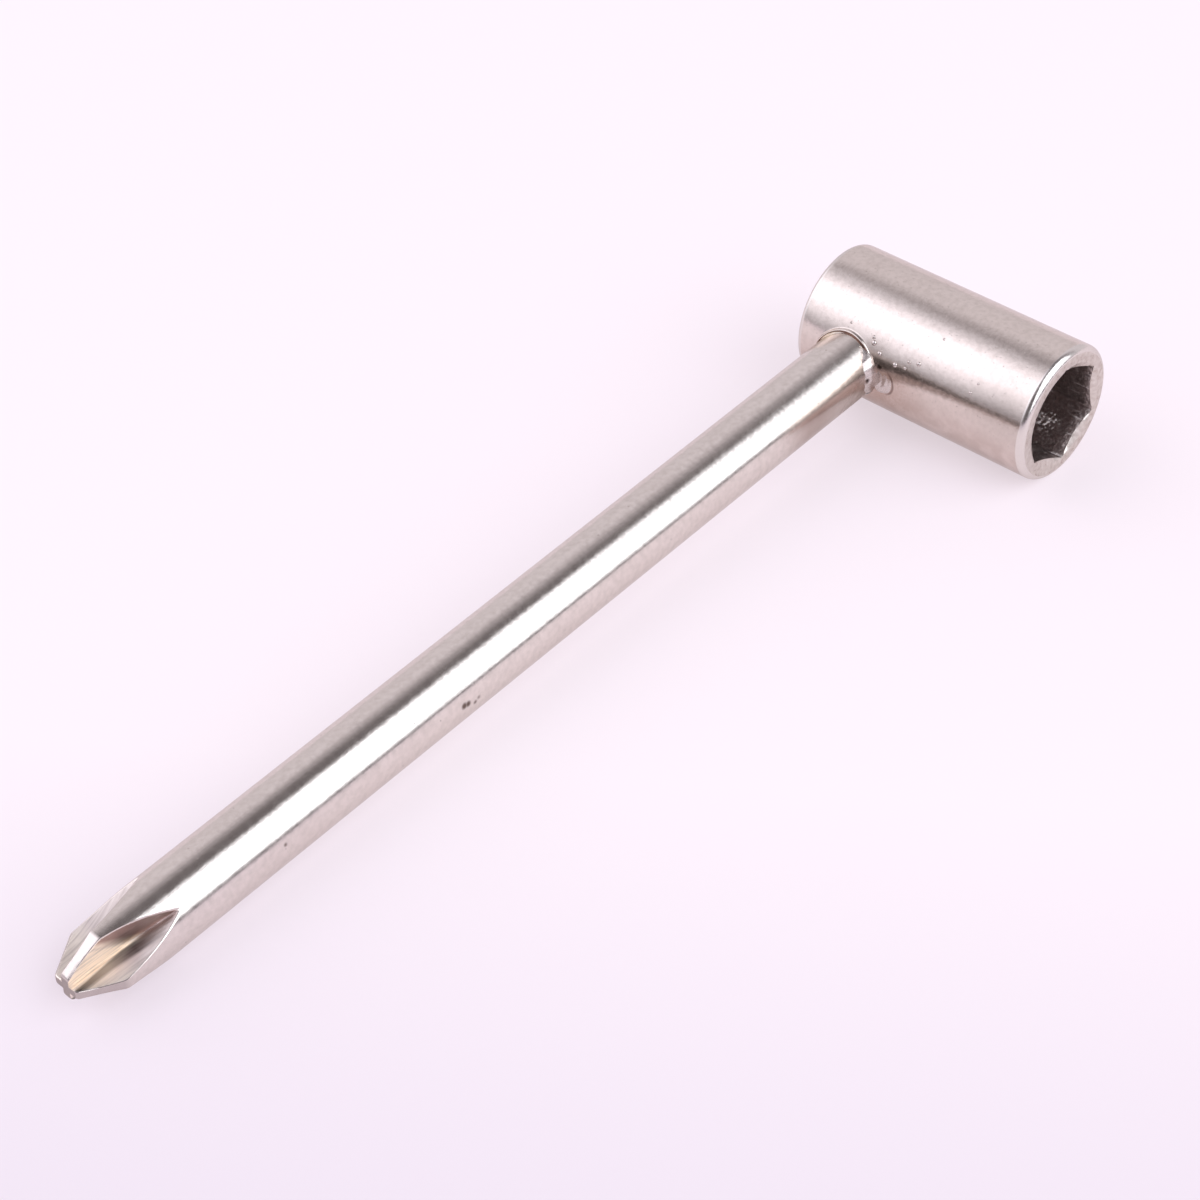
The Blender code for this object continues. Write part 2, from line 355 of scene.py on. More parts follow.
def shank_nickel():
    """Semi-bright nickel over drawn rod: draw lines, a few pits, browned towards the weld, with a painted
    reflection of the barrel low near the weld and painted shade on the tip's cone.
    """
    made, graph = new_material("shank_nickel")
    plain = graph.coordinates()
    along = graph.along(plain, "X")
    upward = graph.along(plain, "Z")
    lines = graph.noise(graph.coordinates((0.04, 2.4, 2.4)), 1.0, 3.0)
    cloud = graph.noise(plain, 0.22)
    mottle = graph.noise(plain, 2.0, 3.0)
    grain = graph.noise(plain, 8.0)
    pits = graph.spots(plain, 0.75, 0.05)
    for pit in SHANK_PITS:
        pits = graph.math("MAXIMUM", pits, graph.near(plain, *pit))
    # Painted reflection of the barrel: darker low on the shank, towards the weld
    barrel_reflection = graph.ramp(along, *BARREL_REFLECTION_STARTS, 0.0, 0.9)
    barrel_reflection = graph.times(barrel_reflection, graph.ramp(upward, *BARREL_REFLECTION_BELOW))
    barrel_reflection = graph.times(barrel_reflection, graph.ramp(along, *BARREL_REFLECTION_FADES, 1.0, 0.15))
    browned = graph.near(plain, *BROWNED_PATCH)
    straw = graph.near(plain, *SHANK_STRAW_PATCH)
    # Painted shade on the tip's cone, weaker on its uppermost wing
    worn = graph.ramp(along, *SHADED_CONE, 0.0, 0.6)
    worn = graph.times(worn, graph.ramp(upward, *UPPER_WING, 1.0, 0.35))
    colour = graph.mix(cloud, rgb(0.73, 0.66, 0.61), rgb(0.78, 0.715, 0.665))
    colour = graph.mix(graph.ramp(mottle, 0.35, 0.75, 0.0, 0.35), colour, rgb(0.55, 0.49, 0.44))
    colour = graph.mix(barrel_reflection, colour, rgb(0.50, 0.415, 0.37))
    colour = graph.mix(graph.times(browned, mottle), colour, rgb(0.30, 0.20, 0.15))
    colour = graph.mix(straw, colour, rgb(0.80, 0.69, 0.48))
    colour = graph.mix(worn, colour, rgb(0.42, 0.365, 0.345))
    colour = graph.mix(pits, colour, rgb(0.16, 0.12, 0.10))
    roughness = graph.ramp(mottle, 0.3, 0.7, 0.15, 0.23)
    roughness = graph.math("MAXIMUM", roughness, graph.ramp(browned, 0.0, 1.0, 0.15, 0.45))
    normal = graph.bump(lines, 0.006 * MM)
    normal = graph.bump(mottle, 0.008 * MM, normal)
    normal = graph.bump(grain, 0.0016 * MM, normal)
    normal = graph.bump(graph.times(pits, -1.0), 0.02 * MM, normal)
    metal_surface(graph, colour, roughness, normal)
    return made


# The upper flute at the mouth's side, with a painted reflection on one wall, cream towards the tip and brown
# higher up: across its root, and out of it
FLUTE_ACROSS = (0.0, 0.643, 0.766)
FLUTE_OUTWARD = (0.0, -0.766, 0.643)
CLEAR_OF_AXIS = (0.3, 0.6)
REFLECTING_WALL = (-0.4, -0.2)  # across the flute
BROWN_REFLECTION_STARTS = (-86.8, -85.3)  # along the shank
BROWN_REFLECTION_SLANT = 2.2  # along the shank for each millimetre across
BROWN_REFLECTION_PALES = (-85.8, -84.3)
OTHER_WALLS = (-88.6, -87.2)  # along the shank, from its paler to its darker part
# The painted shade low on one wall of every flute, a dark line: from, to along the shank, and a measure at
# each of them
LINE_FAR_SIDE = (-90.5, -86.5, 0.62, 0.72)  # distance from the root
LINE_NEAR_SIDE = (-90.5, -87.3, 0.42, 0.22)
LINE_FAR_EDGE = (-0.2, 0.0)  # how softly it starts on either side
LINE_NEAR_EDGE = (0.12, 0.0)
LINE_FADES = (-86.6, -84.3, 1.0, 0.15)  # how dark
SHADE_LINE_WEAKEST_AT = -89.0
SHADE_LINE_WEAKENS = (0.2, 3.0, 0.62, 1.0)  # how dark, by the distance from there


def ground_flute():
    """Nickel over ground steel: wheel lines along the flutes, a line of painted shade in each, a painted
    reflection on one wall of one.
    """
    made, graph = new_material("ground_flute")
    plain = graph.coordinates()
    height = graph.along(plain, "X")
    across = graph.dot(plain, FLUTE_ACROSS)
    outward = graph.dot(plain, FLUTE_OUTWARD)
    wide = graph.math("ABSOLUTE", across)
    tall = graph.math("ABSOLUTE", outward)
    off_root = graph.math("MINIMUM", wide, tall)

    # Across whichever flute the place is in, the same way round in each
    in_line = graph.math("GREATER_THAN", tall, wide)
    crosswise = graph.math("SUBTRACT", 1.0, in_line)
    aside = graph.times(graph.times(across, graph.math("SIGN", outward)), in_line)
    turned = graph.times(graph.times(outward, graph.math("SIGN", across)), crosswise)
    aside = graph.math("SUBTRACT", aside, turned)

    ground = graph.add("ShaderNodeCombineXYZ", {"X": height, "Y": off_root, "Z": across})
    ground = graph.add("ShaderNodeMapping", {"Vector": ground, "Scale": (0.3, 7.0, 0.5)})
    lines = graph.noise(ground, 1.0, 3.0)
    cloud = graph.noise(plain, 1.2, 2.0)

    # Painted shade: a dark line low on one wall of each flute
    painted_shade_line = graph.math("ADD", aside, graph.ramp(height, *LINE_FAR_SIDE))
    painted_shade_line = graph.ramp(painted_shade_line, *LINE_FAR_EDGE)
    near_side = graph.math("ADD", aside, graph.ramp(height, *LINE_NEAR_SIDE))
    painted_shade_line = graph.math("MINIMUM", painted_shade_line, graph.ramp(near_side, *LINE_NEAR_EDGE))
    painted_shade_line = graph.times(painted_shade_line, graph.ramp(lines, 0.35, 0.65, 1.0, 0.75))
    painted_shade_line = graph.times(painted_shade_line, graph.ramp(height, *LINE_FADES))
    from_weakest = graph.math("ABSOLUTE", graph.math("SUBTRACT", height, SHADE_LINE_WEAKEST_AT))
    painted_shade_line = graph.times(painted_shade_line, graph.ramp(from_weakest, *SHADE_LINE_WEAKENS))
    painted_shade_line = graph.times(painted_shade_line, graph.ramp(graph.math("MAXIMUM", wide, tall), *CLEAR_OF_AXIS))

    # Painted reflection on one wall of the upper flute: bright cream towards the tip, brown higher up
    reflecting_wall = graph.times(graph.ramp(across, *REFLECTING_WALL), graph.ramp(outward, *CLEAR_OF_AXIS))
    toward_brown = graph.math("ADD", height, graph.times(across, BROWN_REFLECTION_SLANT))
    toward_brown = graph.ramp(toward_brown, *BROWN_REFLECTION_STARTS)
    brown_reflection = graph.mix(graph.ramp(height, *BROWN_REFLECTION_PALES), rgb(0.30, 0.20, 0.18), rgb(0.60, 0.46, 0.42))
    painted_reflection = graph.mix(toward_brown, rgb(1.0, 0.885, 0.75), brown_reflection)
    other_walls = graph.mix(graph.ramp(height, *OTHER_WALLS), rgb(0.95, 0.86, 0.76), rgb(0.72, 0.64, 0.60))
    colour = graph.mix(reflecting_wall, other_walls, painted_reflection)
    colour = graph.mix(graph.ramp(lines, 0.45, 0.8, 0.0, 0.6), colour, rgb(0.36, 0.29, 0.265))
    colour = graph.mix(painted_shade_line, colour, rgb(0.035, 0.028, 0.027))
    matt = graph.times(reflecting_wall, graph.ramp(toward_brown, 0.6, 0.0))
    roughness = graph.ramp(cloud, 0.3, 0.7, 0.28, 0.42)
    roughness = graph.math("MAXIMUM", roughness, graph.ramp(matt, 0.0, 1.0, 0.28, 0.90))
    metal_surface(graph, colour, roughness, graph.bump(lines, 0.014 * MM))
    return made


def worn_end():
    """The driver's blunt end, dulled by use."""
    tones = (rgb(0.34, 0.29, 0.265), rgb(0.54, 0.48, 0.445))
    return grained_metal("worn_end", 5.0, tones, (0.30, 0.42), 0.02 * MM)


# The brown stain is a line along the barrel's side
STAIN_PLACE = (0.0, 0.0, 1.60)
STAIN_ACROSS = (0.0, 0.033, 1.0)
STAIN_HALF_WIDTH = (-14.0, -6.0, 0.22, 0.62)  # from, to along the barrel, and a measure at each of them
STAIN_STRENGTH = (-16.0, -5.0, 0.29, 0.50)
STAIN_STARTS = (-2.4, -3.6)
STAIN_SIDE = (-3.0, -4.5)  # it is on the shank's side of the barrel only
STAIN_SPOT = ((-5.85, -3.5, 1.5), 0.1, 0.4)
BUTTON_PLACE = (-BARREL_RADIUS / MM, BUTTON_MIDDLE[0] / MM, BUTTON_MIDDLE[1] / MM)
# Painted shade in the crevice around the weld's flat round end
CREVICE_SHADE_OUTSIDE = (1.30, 1.42)  # distances from the middle of the weld's flat round end
CREVICE_SHADE_INSIDE = (1.1, 1.25)
CREVICE_SHADE_STARTS = (-4.1, -4.7)
UNDERSIDE_SHADE = (1.6, -1.0)  # heights between which the painted shade of the underside comes in
TINT_PATCH = ((-6.2, -2.5, -0.9), 1.4, 6.5)
TINT_BELOW = (2.2, 0.9)
# Painted shade on the barrel beside the seam, above the shank
SEAM_SHADE_PATCH = ((-5.46, -2.54, 2.49), 0.3, 1.5)
# Painted shade on the barrel's upper side near the mouth
MOUTH_SIDE_SHADE_PATCH = ((-5.1, -16.0, 3.1), 0.8, 5.0)


def barrel_nickel():
    """Satin nickel over turned steel: fine pits all over, browned and stained beside the weld, with painted
    shade on its underside, around the weld's round end, beside the seam and near the mouth.
    """
    made, graph = new_material("barrel_nickel")
    plain = graph.coordinates()
    along = graph.along(plain, "Y")
    upward = graph.along(plain, "Z")
    turned = graph.noise(graph.coordinates((0.12, 5.0, 0.12)), 1.0, 3.0)
    cloud = graph.noise(plain, 0.3)
    mottle = graph.noise(plain, 2.2, 3.0)
    grain = graph.noise(plain, 6.0, 3.0)
    pits = graph.spots(plain, 2.2, 0.14)

    off_line = graph.math("ABSOLUTE", graph.dot(graph.shift(plain, STAIN_PLACE), STAIN_ACROSS))
    off_line = graph.math("DIVIDE", off_line, graph.ramp(along, *STAIN_HALF_WIDTH))
    stain = graph.ramp(off_line, 1.5, 0.4)
    stain = graph.times(stain, graph.ramp(along, *STAIN_STARTS))
    stain = graph.times(stain, graph.ramp(graph.along(plain, "X"), *STAIN_SIDE))
    stain = graph.times(stain, graph.ramp(along, *STAIN_STRENGTH))
    stain = graph.times(stain, graph.ramp(mottle, 0.35, 0.6, 0.6, 1.0))
    stain = graph.math("MAXIMUM", stain, graph.near(plain, *STAIN_SPOT))

    # Painted shade in the crevice around the weld's flat round end
    within = graph.near(plain, BUTTON_PLACE, *CREVICE_SHADE_OUTSIDE)
    crevice_shade = graph.math("SUBTRACT", within, graph.near(plain, BUTTON_PLACE, *CREVICE_SHADE_INSIDE))
    crevice_shade = graph.times(crevice_shade, graph.ramp(along, *CREVICE_SHADE_STARTS))
    # Painted shade: darker and warmer on the barrel's underside, with lighter patches in it
    underside_shade = graph.ramp(upward, *UNDERSIDE_SHADE, 0.0, 0.85)
    patches = graph.ramp(graph.noise(plain, 0.7, 3.0), 0.42, 0.66, 0.0, 0.55)
    tint = graph.near(plain, *TINT_PATCH)
    tint = graph.times(tint, graph.ramp(upward, *TINT_BELOW))
    # Painted shade beside the seam
    seam_shade = graph.near(plain, *SEAM_SHADE_PATCH)
    # Painted shade near the mouth
    mouth_side_shade = graph.near(plain, *MOUTH_SIDE_SHADE_PATCH)

    colour = graph.mix(cloud, rgb(0.72, 0.635, 0.58), rgb(0.78, 0.70, 0.645))
    colour = graph.mix(graph.ramp(mottle, 0.4, 0.75, 0.0, 0.42), colour, rgb(0.54, 0.47, 0.42))
    colour = graph.mix(underside_shade, colour, rgb(0.595, 0.49, 0.44))
    colour = graph.mix(graph.times(underside_shade, patches), colour, rgb(0.80, 0.70, 0.65))
    colour = graph.mix(graph.times(tint, grain), colour, rgb(0.46, 0.31, 0.25))
    colour = graph.mix(graph.ramp(seam_shade, 0.0, 1.0, 0.0, 0.3), colour, rgb(0.36, 0.29, 0.25))
    colour = graph.mix(graph.ramp(mouth_side_shade, 0.0, 1.0, 0.0, 0.45), colour, rgb(0.45, 0.39, 0.35))
    colour = graph.mix(stain, colour, rgb(0.10, 0.065, 0.05))
    colour = graph.mix(graph.ramp(crevice_shade, 0.0, 1.0, 0.0, 0.75), colour, rgb(0.16, 0.10, 0.085))
    colour = graph.mix(graph.times(pits, grain), colour, rgb(0.28, 0.24, 0.22))
    roughness = graph.ramp(grain, 0.3, 0.7, 0.15, 0.22)
    normal = graph.bump(turned, 0.004 * MM)
    normal = graph.bump(mottle, 0.010 * MM, normal)
    normal = graph.bump(grain, 0.0016 * MM, normal)
    normal = graph.bump(graph.times(pits, -1.0), 0.012 * MM, normal)
    metal_surface(graph, colour, roughness, normal)
    return made


def burnt_seam():
    """The seam around the shank, browned by the weld's heat."""
    tones = (rgb(0.13, 0.07, 0.055), rgb(0.30, 0.19, 0.15))
    return grained_metal("burnt_seam", 5.0, tones, (0.30, 0.45), 0.02 * MM)


def mouth_edge():
    """The edges of both ends, cut bright."""
    tones = (rgb(0.70, 0.645, 0.605), rgb(0.78, 0.73, 0.69))
    return grained_metal("mouth_edge", 6.0, tones, (0.15, 0.24), 0.006 * MM)


def mouth_nickel():
    """Nickel over the faced end, with the cutter's rings still in it."""
    made, graph = new_material("mouth_nickel")
    flat = graph.coordinates((1, 0, 1))
    radius = graph.add("ShaderNodeVectorMath", {0: flat}, out="Value", operation="LENGTH")
    rings = graph.add("ShaderNodeTexNoise", {"W": radius, "Scale": 14.0}, noise_dimensions="1D")
    grain = graph.noise(graph.coordinates(), 2.4, 4.0)
    colour = graph.mix(graph.ramp(grain, 0.3, 0.7), rgb(0.56, 0.49, 0.44), rgb(0.76, 0.70, 0.65))
    roughness = graph.ramp(grain, 0.3, 0.7, 0.26, 0.36)
    normal = graph.bump(rings, 0.004 * MM)
    normal = graph.bump(grain, 0.008 * MM, normal)
    metal_surface(graph, colour, roughness, normal)
    return made


# Where bright specks gather low in the mouth as painted glints
BARE_GLINT_PATCH = ((2.2, -15.05, -3.45), 0.5, 1.3)


def bore_steel():
    """The broached socket: dull browned steel, with broach lines and bare specks, and painted glints gathered
    low in the mouth.
    """
    made, graph = new_material("bore_steel")
    plain = graph.coordinates()
    torn = graph.noise(graph.coordinates((3.2, 0.3, 3.2)), 1.0, 4.0)
    rough = graph.noise(plain, 2.4, 5.0)
    fine = graph.noise(plain, 3.6, 3.0)
    # Bright specks: bare steel all over, and painted glints gathered low in the mouth
    low = graph.near(plain, *BARE_GLINT_PATCH)
    bare_and_glints = graph.times(graph.ramp(fine, 0.54, 0.62), graph.ramp(low, 0.0, 1.0, 0.15, 1.0))
    bare_and_glints = graph.math("MAXIMUM", bare_and_glints, graph.ramp(torn, 0.58, 0.72, 0.0, 0.7))
    colour = graph.mix(rough, rgb(0.34, 0.285, 0.275), rgb(0.66, 0.57, 0.545))
    colour = graph.mix(bare_and_glints, colour, rgb(1.0, 0.95, 0.92))
    roughness = graph.ramp(bare_and_glints, 0.0, 1.0, 0.30, 0.95)
    normal = graph.bump(torn, 0.06 * MM)
    normal = graph.bump(rough, 0.08 * MM, normal)
    metal_surface(graph, colour, roughness, normal)
    return made


WELD_STRAW_PATCH = ((-5.7, 2.0, 2.0), 0.6, 1.8)
# Painted shade in the weld's pits reaches this far
PIT_SHADE_REACH = (0.4, 1.3)  # shares of a pit's radius


def weld_metal():
    """Nickel over the rippled weld: straw on the thin run above the shank, painted shade in the pits."""
    made, graph = new_material("weld_metal")
    plain = graph.coordinates()
    cloud = graph.noise(plain, 1.3, 3.0)
    grain = graph.noise(plain, 7.0, 3.0)
    straw = graph.near(plain, *WELD_STRAW_PATCH)
    colour = graph.mix(cloud, rgb(0.58, 0.50, 0.47), rgb(0.74, 0.68, 0.65))
    colour = graph.mix(graph.ramp(grain, 0.55, 0.75, 0.0, 0.4), colour, rgb(0.34, 0.25, 0.21))
    colour = graph.mix(straw, colour, rgb(0.88, 0.78, 0.64))
    # Painted shade in the weld's pits
    for turn, out, radius, _ in COLLAR_PITS:
        place = (-out / MM, SHANK_RADIUS / MM * math.cos(turn), SHANK_RADIUS / MM * math.sin(turn))
        pit_shade = graph.near(plain, place, *(share * radius / MM for share in PIT_SHADE_REACH))
        colour = graph.mix(pit_shade, colour, rgb(0.07, 0.05, 0.045))
    roughness = graph.ramp(grain, 0.3, 0.7, 0.22, 0.32)
    metal_surface(graph, colour, roughness, graph.bump(grain, 0.005 * MM))
    return made


FLOOR_SIZE = 8.0
FLOOR_GLOW = 0.55  # share of the floor's brightness, as seen, that no shadow takes away
FLOOR_FRONT = (-0.8, -0.55, 0.0)  # the way in which the painted shade makes it greyer
FLOOR_SHADE_SPAN = (10.0, 75.0)  # distances towards the front, where that starts and is full


def pale_floor():
    """Smooth pale lilac card, with painted shade making it a little greyer towards the front."""
    made, graph = new_material("pale_floor")
    plain = graph.coordinates()
    # Painted shade: the light's falloff, greyer towards the front
    falloff_shade = graph.ramp(graph.dot(plain, FLOOR_FRONT), *FLOOR_SHADE_SPAN)
    cloud = graph.noise(plain, 0.02)
    card = graph.mix(cloud, rgb(0.955, 0.84, 0.875), rgb(0.97, 0.855, 0.89))
    colour = graph.mix(falloff_shade, card, rgb(0.74, 0.655, 0.715))
    shader = graph.add("ShaderNodeBsdfPrincipled", {"Base Color": colour, "Roughness": 0.7})
    bright = graph.mix(falloff_shade, rgb(1.0, 0.92, 0.985), rgb(0.84, 0.745, 0.885))
    glow = graph.add("ShaderNodeEmission", {"Color": bright, "Strength": 1.0})
    path = graph.add("ShaderNodeLightPath", {}).node
    seen = graph.math("ADD", path.outputs["Is Camera Ray"], path.outputs["Is Glossy Ray"])
    seen = graph.math("ADD", seen, path.outputs["Is Transmission Ray"])
    share = graph.ramp(seen, 0.0, 1.0, 0.0, FLOOR_GLOW)
    both = graph.add("ShaderNodeMixShader", {0: share, 1: shader, 2: glow})
    graph.add("ShaderNodeOutputMaterial", {"Surface": both})
    return made


def soft_least(one, two, blend):
    """The lesser of two, rounded where they cross."""
    share = np.clip(0.5 + 0.5 * (two - one) / blend, 0.0, 1.0)
    return two + (one - two) * share - blend * share * (1.0 - share)


def eased(corners, radii, steps):
    """A profile with its inner corners rounded."""
    line = [corners[0]]
    for before, corner, after, radius in zip(corners, corners[1:], corners[2:], radii):
        back = (before - corner).normalized()
        ahead = (after - corner).normalized()
        half = back.angle(ahead) / 2
        centre = corner + (back + ahead).normalized() * (radius / math.sin(half))
        start = corner + back * (radius / math.tan(half)) - centre
        end = corner + ahead * (radius / math.tan(half)) - centre
        for step in range(steps + 1):
            line.append(centre + start.lerp(end, step / steps).normalized() * radius)
    line.append(corners[-1])
    return line


def wheel_rim(across):
    """How far the grinding wheel's rim falls back at a distance from its middle plane."""
    crest_turn = math.pi / 2 - FLUTE_HALF_ANGLE
    crest_width = FLUTE_ROOT_RADIUS * math.sin(crest_turn)
    crest_depth = FLUTE_ROOT_RADIUS * (1 - math.cos(crest_turn))
    on_crest = np.minimum(across, crest_width)
    rounded = FLUTE_ROOT_RADIUS - np.sqrt(FLUTE_ROOT_RADIUS**2 - on_crest**2)
    straight = crest_depth + (across - crest_width) / math.tan(FLUTE_HALF_ANGLE)
    return np.where(across < crest_width, rounded, straight)


HALVINGS = 36


def flute_radius(turns, height):
    """Distance from the shank's axis to the flute, at angles from its middle and one height."""
    low = np.zeros_like(turns)
    high = np.full_like(turns, 2 * SHANK_RADIUS)
    for _ in range(HALVINGS):
        middle = (low + high) / 2
        wheel = np.maximum(WHEEL_RADIUS - wheel_rim(middle * np.sin(turns)), 0.0)
        chord = np.sqrt(np.maximum(wheel**2 - (height - FLUTE_DEEPEST_AT) ** 2, 0.0))
        wall = FLUTE_CORE_RADIUS + WHEEL_RADIUS - chord
        inside = middle * np.cos(turns) < wall
        low = np.where(inside, middle, low)
        high = np.where(inside, high, middle)
    return high


def shank_profile(height):
    """The tip's round radius at a height above its end."""
    cone = TIP_RADIUS + height * (SHANK_RADIUS - TIP_RADIUS) / TIP_CONE_LENGTH
    return float(soft_least(np.float64(cone), np.float64(SHANK_RADIUS), SHOULDER_BLEND))


FLUTE_COLUMNS = 20
CREST_COLUMNS = 10
TRIAL_COLUMNS = 400
COLUMN_SPREAD = 0.85  # power that spreads the columns over a flute
LEAST_EDGE = math.radians(7)
MOST_EDGE = 0.93  # share of the way to a wing's middle


def shank_columns(height, profile):
    """Angles from a flute's middle to a wing's middle, gathered at the edge between them."""
    half = math.pi / FLUTE_COUNT
    trial = np.linspace(0.0, half, TRIAL_COLUMNS)
    cut_away = flute_radius(trial, height) < profile
    edge = max(float(trial[cut_away].max()) if cut_away.any() else 0.0, LEAST_EDGE)
    edge = min(edge, MOST_EDGE * half)
    steps = np.linspace(0.0, 1.0, FLUTE_COLUMNS + 1)
    flute = edge * np.sin(steps * math.pi / 2) ** COLUMN_SPREAD
    steps = np.linspace(0.0, 1.0, CREST_COLUMNS + 1)[1:]
    crest = edge + (half - edge) * (1 - np.cos(steps * math.pi / 2))
    return np.concatenate([flute, crest])


# Looks of the shank's faces
PLATE, GROUND, WORN = range(3)


def shank_section(height, inset):
    """Points around the shank at a height above the tip's end, and the look at each."""
    profile = shank_profile(height)
    quarter = shank_columns(height, profile)
    radius = soft_least(flute_radius(quarter, height), np.float64(profile), FLUTE_EDGE_BLEND) - inset
    offsets = np.concatenate([-quarter[:0:-1], quarter[:-1]])
    radii = np.concatenate([radius[:0:-1], radius[:-1]])
    points = []
    looks = []
    for index in range(FLUTE_COUNT):
        middle = WING_TURN + math.tau * (index + 0.5) / FLUTE_COUNT
        for offset, distance in zip(offsets, radii):
            turn = middle + offset
            points.append((height - REACH, distance * math.cos(turn), distance * math.sin(turn)))
            looks.append(GROUND if distance + inset < profile - FLUTE_LOOK_DEPTH else PLATE)
    return points, looks


TIP_EDGE_ROWS = 5
FLUTED_HEIGHTS = np.arange(0.16, 9.6, 0.08) * MM  # above the tip's end
PLAIN_HEIGHTS = np.linspace(10.0, 88.0, 40) * MM


def build_shank(plate, flute, worn):
    """The rod from the tip's end to the end in the barrel."""
    skin = Skin()
    heights = []
    for lift in np.linspace(0.0, math.pi / 2, TIP_EDGE_ROWS + 1)[:-1]:
        heights.append((TIP_EDGE * (1 - math.cos(lift)), TIP_EDGE * (1 - math.sin(lift))))
    heights += [(height, 0.0) for height in (*FLUTED_HEIGHTS, *PLAIN_HEIGHTS)]
    end = REACH - SEATED_END
    heights += [(end - SEATED_CHAMFER, 0.0), (end, SEATED_CHAMFER)]
    rows = []
    for height, inset in heights:
        points, looks = shank_section(height, inset)
        rows.append((skin.row(points), looks))
    for (row, _), (following, looks) in zip(rows, rows[1:]):
        skin.join(row, following, looks)
    skin.cap(rows[0][0], (-REACH, 0, 0), WORN)
    skin.cap(rows[-1][0], (-SEATED_END, 0, 0))
    return skin.piece("shank", [plate, flute, worn])


# Looks of the barrel's faces
OUTSIDE, MOUTH_FACE, BORE, BRIGHT_EDGE, SEAM = range(5)

SECTOR_STEPS = (0.0, 0.8, 2.0, 4.0, 7.0, *range(10, 52, 3), 53.0, 56.0, 58.0, 59.2)  # degrees
CLOSED_END_ROWS = 7
PATCH_ROWS = 25
SIDE_ROWS = 14
MOUTH_EASE_STEPS = 9
HEX_ROWS = (1.2 * MM, 2.5 * MM, 4.0 * MM, 6.0 * MM, 8.0 * MM, 10.4 * MM)  # depths
# The part of the side that is left open for the joint
PATCH_TURNS = (math.radians(136), math.radians(224))
PATCH_SPAN = (4.4 * MM, -6.2 * MM)
PATCH_SHARES = (0.75, 0.5, 0.25, 0.1, 0.0)  # of the way from the lip's foot out to the patch's edge
LIP_STEPS = 8


def barrel_turns():
    """Angles of the barrel's columns, from +X towards +Z, with some at the hexagon's corners."""
    first = HEX_TURN + math.pi / 6
    return [first + math.radians(60 * side + step) for side in range(6) for step in SECTOR_STEPS]


def hex_radius(turn):
    """Distance from the barrel's axis to the hexagon, with its corners blunted."""
    from_flat = (turn - HEX_TURN + math.pi / 6) % (math.pi / 3) - math.pi / 6
    corner = HEX_ACROSS_FLATS / 2 / math.cos(math.pi / 6) - HEX_CORNER_BLUNT
    return min(HEX_ACROSS_FLATS / 2 / math.cos(from_flat), corner)


def around_barrel(turns, radius, y):
    return [(radius * math.cos(turn), y, radius * math.sin(turn)) for turn in turns]


def joint_patch(skin, loop):
    """The barrel's side around the shank: in from a loop of it to the lip, then down the drilled hole."""
    edge = [Vector(skin.points[index]) for index in loop]
    turns = [math.atan2(point.z, point.y) for point in edge]
    highest = np.clip(LIP_MEAN + LIP_SWING * np.cos(np.array(turns) - LIP_HIGHEST_AT), 0.0, 1.0)
    lip = LIP_HEIGHT * highest**2
    rings = [(share, LIP_FOOT, 0.0, OUTSIDE) for share in PATCH_SHARES]
    for step in np.linspace(0.0, 1.0, LIP_STEPS + 1)[1:]:
        rings.append((0.0, LIP_FOOT + (LIP_TOP - LIP_FOOT) * step, step**LIP_HOLLOW, OUTSIDE))
    rings += [(0.0, LIP_TOP - inward, rise, OUTSIDE) for inward, rise in LIP_CREST]
    rings += [(0.0, LIP_TOP - inward, rise, SEAM) for inward, rise in SEAM_WALL]
    rings.append((0.0, HOLE_RADIUS, SEAM_AT_HOLE, SEAM))
    last = loop
    for share, radius, rise, look in rings:
        points = []
        for turn, outer, top in zip(turns, edge, lip):
            y = (1 - share) * radius * math.cos(turn) + share * outer.y
            z = (1 - share) * radius * math.sin(turn) + share * outer.z
            points.append((-math.sqrt(BARREL_RADIUS**2 - z**2) - rise * top, y, z))
        row = skin.row(points)
        skin.join(last, row, [look] * len(row))
        last = row
    bottom = [(-HOLE_BOTTOM, HOLE_RADIUS * math.cos(turn), HOLE_RADIUS * math.sin(turn)) for turn in turns]
    row = skin.row(bottom)
    skin.join(last, row, [SEAM] * len(row))
    skin.cap(row, (-HOLE_BOTTOM, 0, 0), SEAM)


